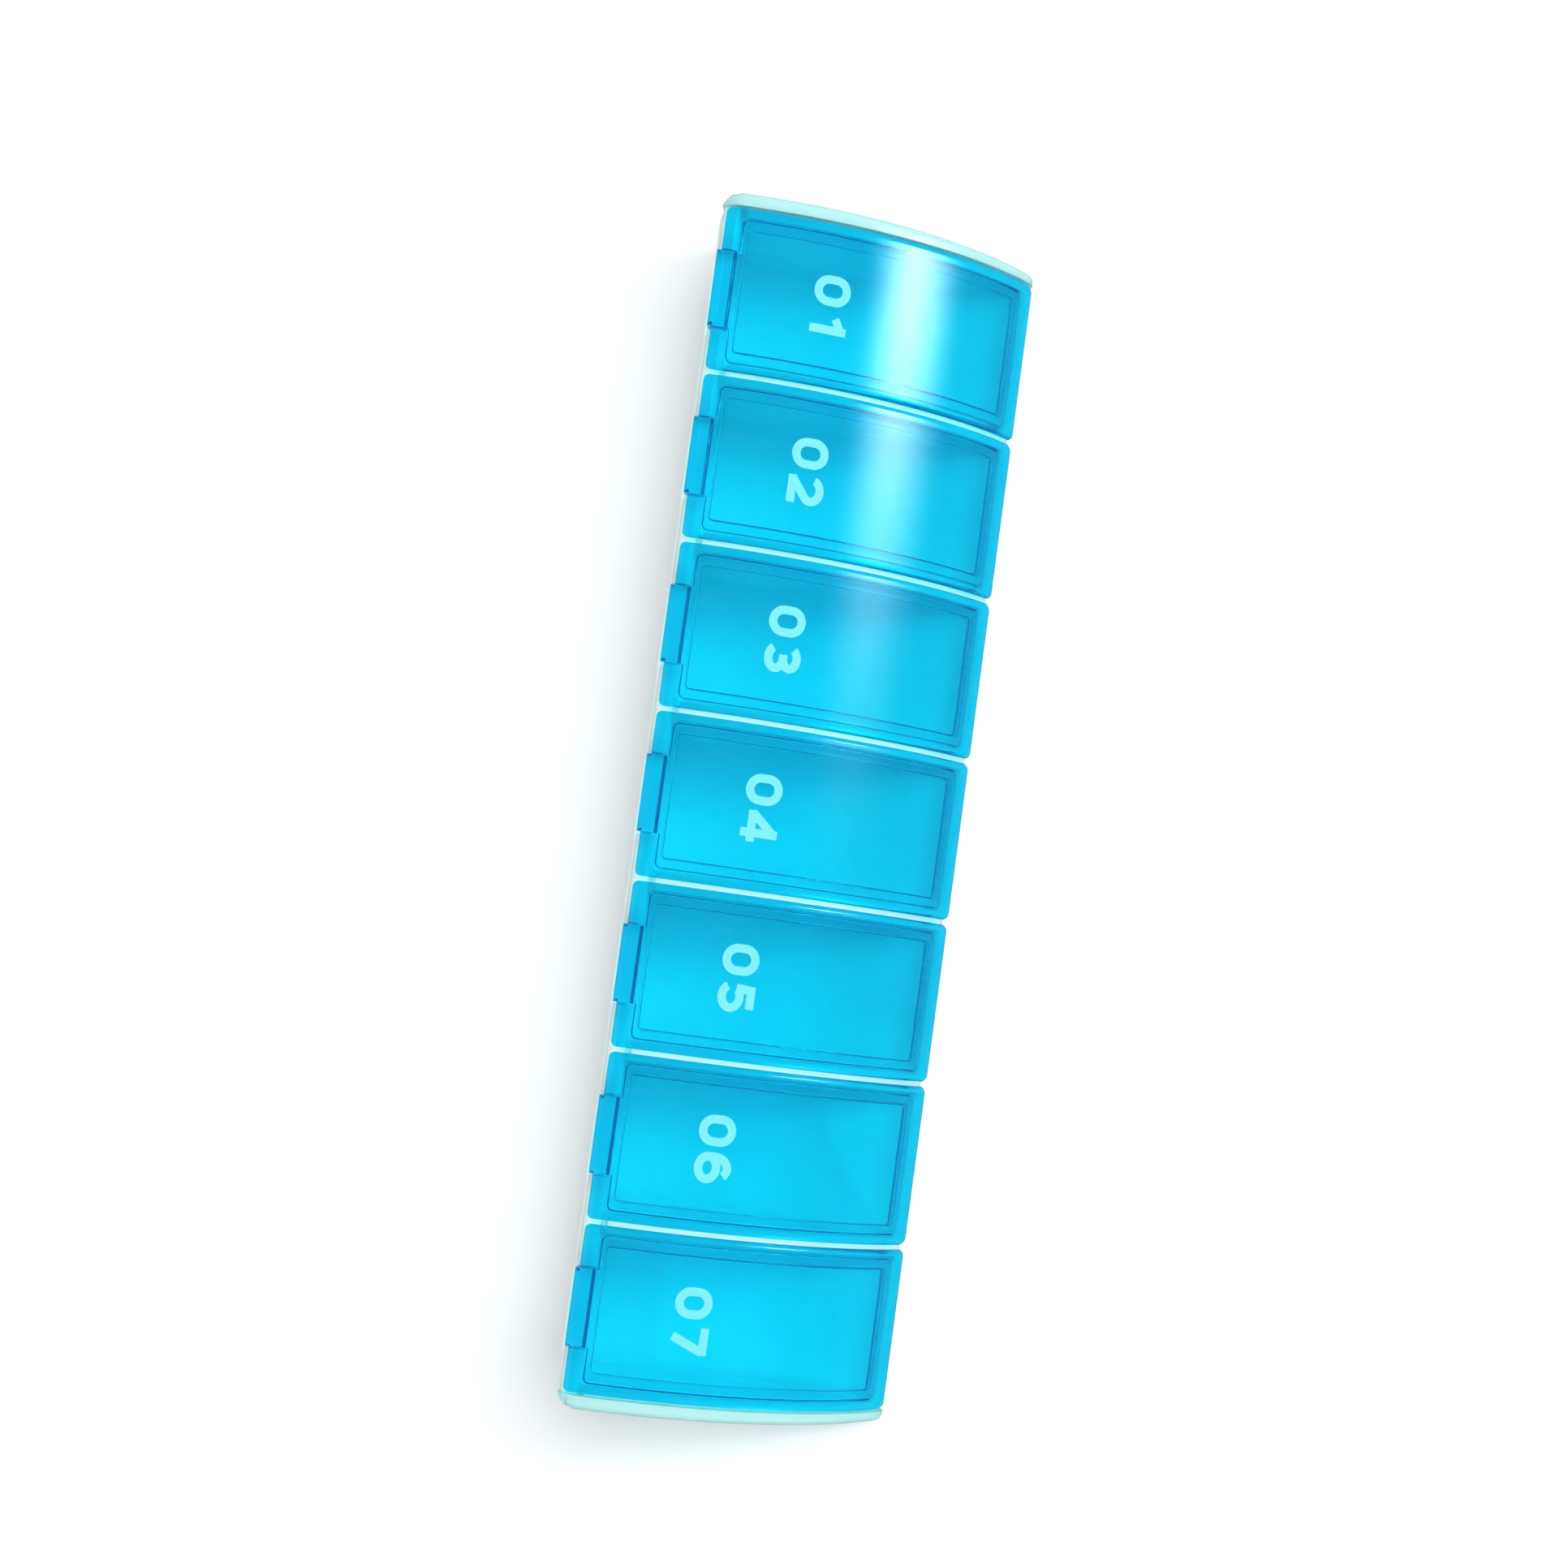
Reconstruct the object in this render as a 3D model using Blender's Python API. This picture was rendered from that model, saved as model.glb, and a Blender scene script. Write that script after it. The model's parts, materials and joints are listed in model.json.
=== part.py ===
"""A weekly pill case: one milky tray with seven compartments, closed by seven see-through lids.

The length runs along X with the first day at +X. The hinge side is at +Y, the lids open from -Y,
and the tray stands on Z = 0. Lengths are in metres.
"""

import math

import bmesh
import bpy
import numpy as np
from mathutils import Matrix, Vector

MM = 0.001

# Driving dimensions of the case
DAYS = 7
CASE_HEIGHT = 25.0 * MM
LID_LENGTH = 20.3 * MM
LID_GAP = 0.6 * MM
LID_DEPTH = 39.3 * MM
LID_FRONT_TOP = 3.4 * MM
LID_THICKNESS = 1.2 * MM
LID_OPENING = math.radians(115.0)

# Gaps and overlaps
FIT_GAP = 0.3 * MM
OVERLAP = 0.4 * MM
OVERRUN = 5.0 * MM
MERGE = 0.001 * MM

# Finish of a lid's edges
LID_REAR_CORNER = 0.5 * MM
LID_FRONT_CORNER = 0.9 * MM
LID_EDGE_ROUND = 0.25 * MM

# Rib frame under a lid
RIB_DEPTH = 1.0 * MM
END_RIB_WIDTH = 1.35 * MM
HINGE_RIB_WIDTH = 0.8 * MM
FRONT_RIB_WIDTH = 1.1 * MM

# Hinge
KNUCKLE_LENGTH = 9.5 * MM
KNUCKLE_PROUD = 0.5 * MM
TRUNNION_RADIUS = 0.5 * MM
TRUNNION_LENGTH = 1.5 * MM
LUG_WALL = 0.4 * MM

# Tray
RIM_WIDTH = 1.7 * MM
RIM_DROP = 0.25 * MM
RIM_ROUND = 0.8 * MM
REAR_LEDGE = 1.1 * MM
WALL_DRAFT = math.radians(1.5)
FLOOR = 1.2 * MM
FLOOR_ROUND = 0.6 * MM
REAR_WALL = 1.9 * MM
RAIL_HEIGHT = 1.6 * MM
DIVIDER = 2.4 * MM
DIVIDER_NOTCH = 0.65 * MM
NOTCH_DROP = 0.25 * MM
RAIL_SETBACK = 0.3 * MM
SILL_WIDTH = 1.15 * MM
FRONT_SETBACK = 0.65 * MM
TRAY_REAR_CORNER = 3.0 * MM
TRAY_FRONT_CORNER = 1.0 * MM
SCOOP_RADIUS = 8.0 * MM
POCKET_CORNER = 1.0 * MM

# Fineness of the round shapes
ARC_STEP = math.radians(2.4)
ROD_SIDES = 20
SCOOP_STEPS = 8
CORNER_STEPS = 5
ROUND_STEPS = 3
EDGE_STEPS = 2
SMOOTH_ANGLE = math.radians(30.0)
UPRIGHT_ANGLE = math.radians(15.0)
FLAT_ANGLE = math.radians(0.5)
WHOLE_ROW = 1.0
HALF_ROW = 0.5

# Places along the case
PITCH = LID_LENGTH + LID_GAP
BAY_HALF = (DAYS * PITCH - LID_GAP) / 2 + FIT_GAP
CASE_HALF = BAY_HALF + RIM_WIDTH
POCKET_HALF = (PITCH - DIVIDER) / 2
LUG_HALF = (PITCH - KNUCKLE_LENGTH) / 2 - FIT_GAP
FRAME_HALF = POCKET_HALF - FIT_GAP

# Places across the case
CASE_DEPTH = LID_DEPTH + REAR_LEDGE
FRONT_Y = -CASE_DEPTH / 2
REAR_Y = CASE_DEPTH / 2
HINGE_EDGE_Y = FRONT_Y + LID_DEPTH
TRAY_FRONT_Y = FRONT_Y + FRONT_SETBACK
SILL_Y = TRAY_FRONT_Y + SILL_WIDTH
FRONT_RIB_Y = SILL_Y + FIT_GAP

# The lids' outer face is an arch that is level at the hinge edge
ARCH_DROP = CASE_HEIGHT - LID_FRONT_TOP
ARCH_RADIUS = (LID_DEPTH**2 + ARCH_DROP**2) / (2 * ARCH_DROP)
ARCH_Z = CASE_HEIGHT - ARCH_RADIUS
ARCH_ROWS = math.ceil(math.asin(LID_DEPTH / ARCH_RADIUS) / ARC_STEP)
LID_UNDER_RADIUS = ARCH_RADIUS - LID_THICKNESS
RIB_RADIUS = LID_UNDER_RADIUS - RIB_DEPTH
BED_RADIUS = LID_UNDER_RADIUS - FIT_GAP
RIM_RADIUS = ARCH_RADIUS - RIM_DROP

# The hinge axis, below the lid's rear edge
LUG_RADIUS = TRUNNION_RADIUS + FIT_GAP + LUG_WALL
KNUCKLE_RADIUS = LUG_RADIUS
AXIS_INSET = KNUCKLE_RADIUS - KNUCKLE_PROUD
AXIS_Y = HINGE_EDGE_Y - AXIS_INSET
AXIS_Z = CASE_HEIGHT - LID_THICKNESS - FIT_GAP - LUG_RADIUS
LUG_FRONT_Y = AXIS_Y - LUG_RADIUS
RAIL_Y = LUG_FRONT_Y + RAIL_SETBACK
HINGE_RIB_Y = LUG_FRONT_Y - FIT_GAP

# The rear wall stops under the lowest place that an open lid's rear edge reaches
EDGE_REACH = math.hypot(AXIS_INSET, CASE_HEIGHT - AXIS_Z)
EDGE_ANGLE = math.atan2(CASE_HEIGHT - AXIS_Z, AXIS_INSET)
WALL_TOP = AXIS_Z - EDGE_REACH * math.sin(LID_OPENING - EDGE_ANGLE) - FIT_GAP
# A lug's stem leaves room for the plate that swings down behind it
STEM_BACK = LUG_RADIUS * math.sin(LID_OPENING) + (AXIS_INSET + FIT_GAP) * math.cos(LID_OPENING)


def arch_height(radius, y):
    """Height of a circle of this radius round the arch's centre line, at a place across the case."""
    return ARCH_Z + math.sqrt(radius**2 - (y - HINGE_EDGE_Y) ** 2)


# The sill is level with the front rib, which swings out over it
SILL_TOP = arch_height(RIB_RADIUS, FRONT_RIB_Y)


def clear_scene():
    """Takes away whatever the scene holds."""
    for old in list(bpy.data.objects):
        bpy.data.objects.remove(old, do_unlink=True)


def new_collection(name, parent):
    """A collection of this name under another."""
    made = bpy.data.collections.new(name)
    parent.children.link(made)
    return made


def as_object(name, bm, collection):
    """Turns a bmesh into an object, with its faces pointing out."""
    bmesh.ops.recalc_face_normals(bm, faces=bm.faces)
    mesh = bpy.data.meshes.new(name)
    bm.to_mesh(mesh)
    bm.free()
    made = bpy.data.objects.new(name, mesh)
    collection.objects.link(made)
    return made


def block_bm(low, high):
    """A bmesh box between two corners."""
    bm = bmesh.new()
    size = Vector(high) - Vector(low)
    middle = (Vector(high) + Vector(low)) / 2
    bmesh.ops.create_cube(bm, size=1.0)
    bmesh.ops.scale(bm, vec=size, verts=bm.verts)
    bmesh.ops.translate(bm, vec=middle, verts=bm.verts)
    return bm


def block(name, low, high, collection):
    """A box between two corners."""
    return as_object(name, block_bm(low, high), collection)


def rod(name, radius, half_length, x, y, z, collection):
    """A round bar along X."""
    bm = bmesh.new()
    along_x = Matrix.Translation((x, y, z)) @ Matrix.Rotation(math.pi / 2, 4, "Y")
    bmesh.ops.create_cone(
        bm,
        cap_ends=True,
        segments=ROD_SIDES,
        radius1=radius,
        radius2=radius,
        depth=2 * half_length,
        matrix=along_x,
    )
    return as_object(name, bm, collection)


def round_edges(bm, edges, radius, segments):
    """Rounds edges of a bmesh."""
    bmesh.ops.bevel(
        bm, geom=edges, offset=radius, segments=segments, profile=0.5, affect="EDGES", material=-1
    )


def upright_corners(bm, y):
    """The two upright corner edges of a bmesh box at a plane across the case."""
    return [
        edge
        for edge in bm.edges
        if all(abs(vert.co.y - y) < MERGE for vert in edge.verts)
        and abs(edge.verts[0].co.x - edge.verts[1].co.x) < MERGE
    ]


def upright_block(half_length, front_y, rear_y, front_corner, rear_corner, first_row):
    """A bmesh block with round upright corners, cut across in rows, and the places where it can fold.

    Pieces that a Boolean joins start at different rows, so that their edges never coincide.
    """
    bm = block_bm((-half_length, front_y, 0.0), (half_length, rear_y, CASE_HEIGHT))
    folds = [rear_y]
    for row in range(ARCH_ROWS):
        row_y = HINGE_EDGE_Y - ARCH_RADIUS * math.sin((first_row + row) * ARC_STEP)
        clear_of_front = row_y > front_y + front_corner + RIM_ROUND
        clear_of_rear = row_y < rear_y - rear_corner - RIM_ROUND
        if clear_of_front and clear_of_rear:
            geometry = [*bm.verts, *bm.edges, *bm.faces]
            across = (0.0, 1.0, 0.0)
            bmesh.ops.bisect_plane(bm, geom=geometry, plane_co=(0.0, row_y, 0.0), plane_no=across)
            folds.append(row_y)
    folds = [front_y, *reversed(folds)]
    round_edges(bm, upright_corners(bm, front_y), front_corner, CORNER_STEPS)
    round_edges(bm, upright_corners(bm, rear_y), rear_corner, CORNER_STEPS)
    bm.normal_update()
    return bm, folds


def bend(bm, folds, top, bottom=None):
    """Folds a block's upper side down to the arch at one radius, and its lower side up to another."""
    for vert in bm.verts:
        upper = vert.co.z > CASE_HEIGHT / 2
        radius = top if upper else bottom
        if radius is not None:
            heights = [arch_height(radius, y) for y in folds]
            vert.co.z += np.interp(vert.co.y, folds, heights) - (CASE_HEIGHT if upper else 0.0)


def rim_edges(bm, side):
    """The edges between the upright walls and the face above, with side 1, or below, with side -1."""
    found = []
    for edge in bm.edges:
        leans = [face.normal.z * side for face in edge.link_faces]
        upright = [abs(lean) < math.sin(UPRIGHT_ANGLE) for lean in leans]
        if sum(upright) == 1 and max(leans) > math.sin(UPRIGHT_ANGLE):
            found.append(edge)
    return found


def prism(name, outline, x_low, x_high, collection):
    """A flat outline across the case, as (y, z) points, carried along X."""
    curve = bpy.data.curves.new(name, "CURVE")
    curve.dimensions = "2D"
    curve.fill_mode = "BOTH"
    curve.extrude = (x_high - x_low) / 2
    spline = curve.splines.new("POLY")
    spline.points.add(len(outline) - 1)
    spline.use_cyclic_u = True
    for point, (y, z) in zip(spline.points, outline):
        point.co = (y, z, 0.0, 1.0)
    guide = bpy.data.objects.new(name, curve)
    collection.objects.link(guide)
    bm = bmesh.new()
    bm.from_mesh(finished_mesh(guide))
    bmesh.ops.remove_doubles(bm, verts=bm.verts, dist=MERGE)
    bpy.data.objects.remove(guide, do_unlink=True)
    upright = Matrix(((0, 0, 1, (x_low + x_high) / 2), (1, 0, 0, 0), (0, 1, 0, 0), (0, 0, 0, 1)))
    bmesh.ops.transform(bm, matrix=upright, verts=bm.verts)
    bmesh.ops.dissolve_limit(bm, angle_limit=FLAT_ANGLE, verts=bm.verts, edges=bm.edges)
    return as_object(name, bm, collection)


def finished_mesh(made):
    """The mesh of an object with its modifiers done."""
    depsgraph = bpy.context.evaluated_depsgraph_get()
    return bpy.data.meshes.new_from_object(made.evaluated_get(depsgraph))


def boolean(target, guides, operation):
    """Joins or cuts the target with all the objects of a collection in one step. They stay as guides."""
    step = target.modifiers.new(guides.name, "BOOLEAN")
    step.operation = operation
    step.solver = "EXACT"
    step.operand_type = "COLLECTION"
    step.collection = guides
    for guide in guides.objects:
        guide.hide_render = True
        guide.display_type = "WIRE"


def arc(y, z, radius, start, end, steps):
    """Points of an arc across the case, from one angle to another, both from +Y towards +Z."""
    angles = [start + (end - start) * n / steps for n in range(steps + 1)]
    return [(y + radius * math.cos(a), z + radius * math.sin(a)) for a in angles]


def day_x(day):
    """Middle of a day's place along the case. Day 0 is at +X."""
    return ((DAYS - 1) / 2 - day) * PITCH


def boundary_x(index):
    """Place along the case between two days. Index 0 is the end at +X."""
    return (DAYS / 2 - index) * PITCH


def plastic(name, colour, alpha, roughness):
    """A plain plastic material."""
    material = bpy.data.materials.new(name)
    material.use_nodes = True
    shader = material.node_tree.nodes["Principled BSDF"]
    shader.inputs["Base Color"].default_value = (*colour, 1.0)
    shader.inputs["Alpha"].default_value = alpha
    shader.inputs["Roughness"].default_value = roughness
    shader.inputs["Metallic"].default_value = 0.0
    return material


def smooth(mesh):
    """Shades the round faces smooth and leaves the sharp edges."""
    mesh.shade_smooth()
    mesh.set_sharp_from_angle(angle=SMOOTH_ANGLE)


def lid_plate(collection):
    """The curved plate of a lid, with rounded corners and a softened outer edge."""
    bm, folds = upright_block(
        LID_LENGTH / 2, FRONT_Y, HINGE_EDGE_Y, LID_FRONT_CORNER, LID_REAR_CORNER, WHOLE_ROW
    )
    round_edges(bm, rim_edges(bm, 1), LID_EDGE_ROUND, EDGE_STEPS)
    bend(bm, folds, ARCH_RADIUS, LID_UNDER_RADIUS)
    return as_object("lid_plate", bm, collection)


def rib_frame(collection, cutters):
    """The frame of ribs that drops into a compartment's mouth."""
    corner = POCKET_CORNER - FIT_GAP
    bm, folds = upright_block(FRAME_HALF, FRONT_RIB_Y, HINGE_RIB_Y, corner, corner, HALF_ROW)
    bend(bm, folds, LID_UNDER_RADIUS + OVERLAP, RIB_RADIUS)
    frame = as_object("rib_frame", bm, collection)
    inner = FRAME_HALF - END_RIB_WIDTH
    low = (-inner, FRONT_RIB_Y + FRONT_RIB_WIDTH, -OVERRUN)
    high = (inner, HINGE_RIB_Y - HINGE_RIB_WIDTH, CASE_HEIGHT + OVERRUN)
    window = new_collection("lid_window", cutters)
    block("rib_window", low, high, window)
    boolean(frame, window, "DIFFERENCE")


def knuckle(collection):
    """The barrel on the middle of a lid's rear edge, with the web that joins it to plate and rib."""
    bend = math.acos((AXIS_INSET - OVERLAP / 2) / KNUCKLE_RADIUS)
    outline = arc(AXIS_Y, AXIS_Z, KNUCKLE_RADIUS, bend, -math.pi, ROD_SIDES)
    rib_foot = arch_height(RIB_RADIUS, HINGE_RIB_Y)
    inside_plate = CASE_HEIGHT - LID_THICKNESS + OVERLAP
    outline += [
        (LUG_FRONT_Y, rib_foot),
        (HINGE_RIB_Y - OVERLAP, rib_foot),
        (HINGE_RIB_Y - OVERLAP, inside_plate),
        (outline[0][0], inside_plate),
    ]
    prism("knuckle", outline, -KNUCKLE_LENGTH / 2, KNUCKLE_LENGTH / 2, collection)


def build_lids(collection, cutters, material):
    """One lid moulding, then a copy of it for each day, with its origin on its hinge axis."""
    plate = lid_plate(cutters)
    joined = new_collection("lid_pieces", cutters)
    rib_frame(joined, cutters)
    knuckle(joined)
    trunnion_half = KNUCKLE_LENGTH / 2 + TRUNNION_LENGTH
    rod("trunnions", TRUNNION_RADIUS, trunnion_half, 0.0, AXIS_Y, AXIS_Z, joined)
    boolean(plate, joined, "UNION")
    mesh = finished_mesh(plate)
    mesh.name = "day_lid"
    mesh.transform(Matrix.Translation((0.0, -AXIS_Y, -AXIS_Z)))
    mesh.materials.clear()
    mesh.materials.append(material)
    smooth(mesh)
    plate.hide_render = True
    plate.display_type = "WIRE"
    for day in range(DAYS):
        lid = bpy.data.objects.new(f"day_lid_{day + 1}", mesh)
        lid.location = (day_x(day), AXIS_Y, AXIS_Z)
        collection.objects.link(lid)


def tray_body(collection):
    """The tray's outer block: an arched top, rounded corners, rim and foot, and walls that lean in."""
    bm, folds = upright_block(
        CASE_HALF, FRONT_Y, REAR_Y, TRAY_FRONT_CORNER, TRAY_REAR_CORNER, WHOLE_ROW
    )
    rim = rim_edges(bm, 1)
    foot = rim_edges(bm, -1)
    round_edges(bm, rim, RIM_ROUND, ROUND_STEPS)
    round_edges(bm, foot, FLOOR_ROUND, ROUND_STEPS)
    bend(bm, folds, RIM_RADIUS)
    for vert in bm.verts:
        lean = (CASE_HEIGHT - vert.co.z) * math.tan(WALL_DRAFT)
        vert.co.x -= math.copysign(lean, vert.co.x)
        if vert.co.y > 0.0:
            vert.co.y -= lean
    return as_object("base_tray", bm, collection)


def bay_outline():
    """Section of the space between the end walls, which the lids and their hinges take up."""
    front = FRONT_Y - OVERLAP
    rear = REAR_Y + OVERRUN
    top = CASE_HEIGHT + OVERRUN
    notch_y = LUG_FRONT_Y - DIVIDER_NOTCH
    notch_z = AXIS_Z - NOTCH_DROP
    room_y = (LUG_FRONT_Y + RAIL_Y) / 2
    crest, edge = [math.acos((y - HINGE_EDGE_Y) / BED_RADIUS) for y in (notch_y, TRAY_FRONT_Y)]
    return [
        (front, top),
        (front, -OVERRUN),
        (TRAY_FRONT_Y, -OVERRUN),
        *arc(HINGE_EDGE_Y, ARCH_Z, BED_RADIUS, edge, crest, ARCH_ROWS),
        (notch_y, notch_z),
        (room_y, notch_z),
        (room_y, WALL_TOP),
        (rear, WALL_TOP),
        (rear, top),
    ]


def pocket_outline():
    """Section of a compartment: rail, rear wall, scoop, floor, front wall and sill."""
    top = CASE_HEIGHT + OVERRUN
    wall_y = REAR_Y - REAR_WALL
    lean = (CASE_HEIGHT - FLOOR) * math.tan(WALL_DRAFT)
    foot_y = wall_y - lean
    rail_foot = WALL_TOP - RAIL_HEIGHT
    scoop = arc(foot_y - SCOOP_RADIUS, FLOOR + SCOOP_RADIUS, SCOOP_RADIUS, 0.0, -math.pi / 2, SCOOP_STEPS)
    return [
        (RAIL_Y, top),
        (RAIL_Y, rail_foot),
        (wall_y, rail_foot - (wall_y - RAIL_Y)),
        *scoop,
        (SILL_Y, FLOOR),
        (SILL_Y, SILL_TOP),
        (FRONT_Y - OVERRUN, SILL_TOP),
        (FRONT_Y - OVERRUN, top),
    ]


def pocket(day, collection):
    """The space of one compartment, with rounded inner corners."""
    middle = day_x(day)
    low, high = middle - POCKET_HALF, middle + POCKET_HALF
    made = prism(f"pocket_{day + 1}", pocket_outline(), low, high, collection)
    bm = bmesh.new()
    bm.from_mesh(made.data)
    sides = [
        edge
        for edge in bm.edges
        if abs(edge.verts[0].co.x - edge.verts[1].co.x) < MERGE
        and min(vert.co.z for vert in edge.verts) < CASE_HEIGHT
    ]
    round_edges(bm, sides, POCKET_CORNER, EDGE_STEPS)
    bm.to_mesh(made.data)
    bm.free()


def lug(index, collection):
    """A hinge lug between two lids, or half of one at an end: an eye round the axis on a stem."""
    x = boundary_x(index)
    x_low = -BAY_HALF - OVERLAP if index == DAYS else x - LUG_HALF
    x_high = BAY_HALF + OVERLAP if index == 0 else x + LUG_HALF
    bend = -math.acos(STEM_BACK / LUG_RADIUS)
    outline = arc(AXIS_Y, AXIS_Z, LUG_RADIUS, bend, math.pi, ROD_SIDES)
    root = WALL_TOP - OVERLAP
    outline += [(LUG_FRONT_Y, root), (AXIS_Y + STEM_BACK, root)]
    prism(f"lug_{index}", outline, x_low, x_high, collection)


def socket(day, collection):
    """The bore through the space of a knuckle into the lugs on both sides of it."""
    half_length = KNUCKLE_LENGTH / 2 + FIT_GAP + TRUNNION_LENGTH
    radius = TRUNNION_RADIUS + FIT_GAP
    rod(f"socket_{day + 1}", radius, half_length, day_x(day), AXIS_Y, AXIS_Z, collection)


def build_tray(collection, cutters, material):
    """The tray, cut from its block, with the hinge lugs joined on."""
    tray = tray_body(collection)
    cuts = new_collection("tray_cuts", cutters)
    lugs = new_collection("hinge_lugs", cutters)
    bores = new_collection("hinge_sockets", cutters)
    prism("lid_bay", bay_outline(), -BAY_HALF, BAY_HALF, cuts)
    for day in range(DAYS):
        pocket(day, cuts)
        socket(day, bores)
    for index in range(DAYS + 1):
        lug(index, lugs)
    boolean(tray, cuts, "DIFFERENCE")
    boolean(tray, lugs, "UNION")
    boolean(tray, bores, "DIFFERENCE")
    tray.data.materials.append(material)
    smooth(tray.data)


def main():
    """Builds the whole case."""
    clear_scene()
    root = bpy.context.scene.collection
    parts = new_collection("weekly_pill_case", root)
    cutters = new_collection("cutters", root)
    milky = plastic("milky_polypropylene", (0.66, 0.86, 0.84), 1.0, 0.35)
    blue = plastic("clear_blue_polypropylene", (0.0, 0.55, 0.86), 0.75, 0.15)
    build_tray(parts, cutters, milky)
    build_lids(parts, cutters, blue)


main()
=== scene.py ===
# %% [markdown]
# # A weekly pill case with seven see-through lids
#
# The case is two kinds of moulding. A long milky tray is divided into seven compartments, and each
# compartment is closed by its own blue lid, which turns on two short pins at the hinge side.
#
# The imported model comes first. It gives the places of all pieces and the bodies that move, and
# everything below is fitted over it, in metres, in the same frame: the length runs along X with the
# first day at +X, the hinge side is at +Y, and the tray stands on Z = 0.

# %% Load the fixed frame
import json
import math

import bmesh
import bpy
from mathutils import Matrix, Vector

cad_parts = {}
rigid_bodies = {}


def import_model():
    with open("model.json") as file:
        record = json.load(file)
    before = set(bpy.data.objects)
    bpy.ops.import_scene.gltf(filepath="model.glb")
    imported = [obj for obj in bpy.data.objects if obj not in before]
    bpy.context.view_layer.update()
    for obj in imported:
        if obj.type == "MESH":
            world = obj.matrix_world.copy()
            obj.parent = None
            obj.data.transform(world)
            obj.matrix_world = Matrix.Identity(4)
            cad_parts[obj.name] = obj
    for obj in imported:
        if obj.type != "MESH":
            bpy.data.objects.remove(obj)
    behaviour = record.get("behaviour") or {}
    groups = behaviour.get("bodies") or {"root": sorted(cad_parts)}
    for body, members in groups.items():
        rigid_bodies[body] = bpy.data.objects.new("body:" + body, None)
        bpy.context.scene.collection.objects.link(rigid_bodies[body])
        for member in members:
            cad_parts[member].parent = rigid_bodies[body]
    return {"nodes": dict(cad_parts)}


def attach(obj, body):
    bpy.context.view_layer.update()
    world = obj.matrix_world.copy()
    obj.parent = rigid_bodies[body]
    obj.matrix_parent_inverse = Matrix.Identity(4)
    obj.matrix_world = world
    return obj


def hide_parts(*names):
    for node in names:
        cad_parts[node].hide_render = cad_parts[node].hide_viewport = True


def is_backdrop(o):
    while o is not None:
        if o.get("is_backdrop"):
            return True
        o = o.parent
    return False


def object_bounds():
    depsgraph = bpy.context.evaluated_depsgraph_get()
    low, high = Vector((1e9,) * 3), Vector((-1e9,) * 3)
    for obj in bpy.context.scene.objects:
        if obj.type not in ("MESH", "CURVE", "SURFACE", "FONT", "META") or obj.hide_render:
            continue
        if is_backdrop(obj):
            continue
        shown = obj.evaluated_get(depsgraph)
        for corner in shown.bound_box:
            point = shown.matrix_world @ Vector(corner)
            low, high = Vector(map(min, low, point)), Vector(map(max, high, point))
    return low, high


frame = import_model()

case_low, case_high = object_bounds()
MM = 0.001
size = (case_high - case_low) / MM
print(f"case: {size.x:.1f} x {size.y:.1f} x {size.z:.1f} mm, nodes: {sorted(frame['nodes'])}")

# %% [markdown]
# ## Colours and nodes
#
# A colour is written as the hex value that a screen would show, because that is how we read it off a
# surface. The renderer works with light, which isn't spaced like that, so one function turns the hex
# value to linear.
#
# A second one adds a node with its settings and links, so that a material reads as a list of what it
# is made of. The short ones after it name the few nodes that every material here uses: a ramp, a
# step of arithmetic, a mix of colours or shaders, and noise that is given its width in real size.

# %% Colour and node helpers


def linear(hex_value):
    """The linear colour of an sRGB hex value such as "#19C8F0"."""
    shares = [int(hex_value[place : place + 2], 16) / 255 for place in (1, 3, 5)]
    return tuple(s / 12.92 if s <= 0.04045 else ((s + 0.055) / 1.055) ** 2.4 for s in shares)


def node(tree, kind, settings=None, **inputs):
    """Adds a node. Settings are its own properties; inputs are values, colours or sockets to link."""
    made = tree.nodes.new(kind)
    for name, value in (settings or {}).items():
        setattr(made, name, value)
    for name, value in inputs.items():
        socket = made.inputs[int(name[1:])] if name[0] == "_" else made.inputs[name.replace("_", " ")]
        if isinstance(value, bpy.types.NodeSocket):
            tree.links.new(value, socket)
        else:
            socket.default_value = (*value, 1.0) if socket.type == "RGBA" else value
    return made


def ramp(tree, value, low, high, first=0.0, last=1.0, smooth=False):
    """A number that runs from first to last while the value runs from low to high."""
    kind = {"interpolation_type": "SMOOTHSTEP" if smooth else "LINEAR"}
    ends = {"From_Min": low, "From_Max": high, "To_Min": first, "To_Max": last}
    return node(tree, "ShaderNodeMapRange", kind, Value=value, **ends).outputs[0]


def arithmetic(tree, operation, first, second=0.0):
    """One step of arithmetic with two numbers."""
    return node(tree, "ShaderNodeMath", {"operation": operation}, _0=first, _1=second).outputs[0]


def blend(tree, share, first, second):
    """A colour between two others."""
    mixed = node(tree, "ShaderNodeMix", {"data_type": "RGBA"}, _0=share, _6=first, _7=second)
    return mixed.outputs[2]


def either(tree, share, first, second):
    """The first shader where the share is 0, the second where it is 1, and a mix of them between."""
    return node(tree, "ShaderNodeMixShader", _0=share, _1=first, _2=second).outputs[0]


def noise(tree, place, width, detail):
    """Noise whose features are about this wide."""
    made = node(tree, "ShaderNodeTexNoise", Vector=place, Scale=1.0 / width, Detail=detail)
    return made.outputs["Fac"]


def new_material(name):
    """An empty node material, its tree, and the place on its object as a socket."""
    material = bpy.data.materials.new(name)
    material.use_nodes = True
    tree = material.node_tree
    tree.nodes.clear()
    return material, tree, node(tree, "ShaderNodeTexCoord").outputs["Object"]


def paint(pieces, material):
    """Gives pieces one material and no other."""
    for piece in pieces:
        piece.data.materials.clear()
        piece.data.materials.append(material)


print("linear of #808080:", round(linear("#808080")[0], 3))

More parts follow.
